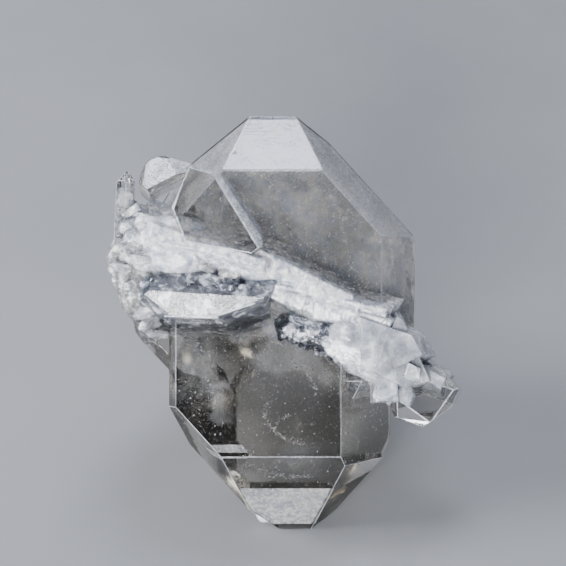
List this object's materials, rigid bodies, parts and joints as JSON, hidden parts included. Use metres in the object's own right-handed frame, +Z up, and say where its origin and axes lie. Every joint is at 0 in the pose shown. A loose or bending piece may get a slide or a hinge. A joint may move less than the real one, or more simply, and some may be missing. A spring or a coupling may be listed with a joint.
{
  "type": "faden quartz cluster",
  "caption": "Free-standing cluster of clear tabular quartz crystals grown together along a slanting milky thread, leaning back on its lower tip and stout crystals behind.",
  "frame": {"origin": "centre of the bounding box's underside, on the table", "axes": "+Z up from the table, +X to the right as seen from the front, +Y away from the viewer; the tablets' long axis leans back 40 degrees from +Z towards +Y"},
  "size_m": [0.046, 0.0332, 0.0419],
  "materials": {
    "quartz": "clear natural quartz, milky white along the thread and frosted in places"
  },
  "bodies": {
    "root": {"quartz_cluster": "quartz"}
  },
  "joints": []
}
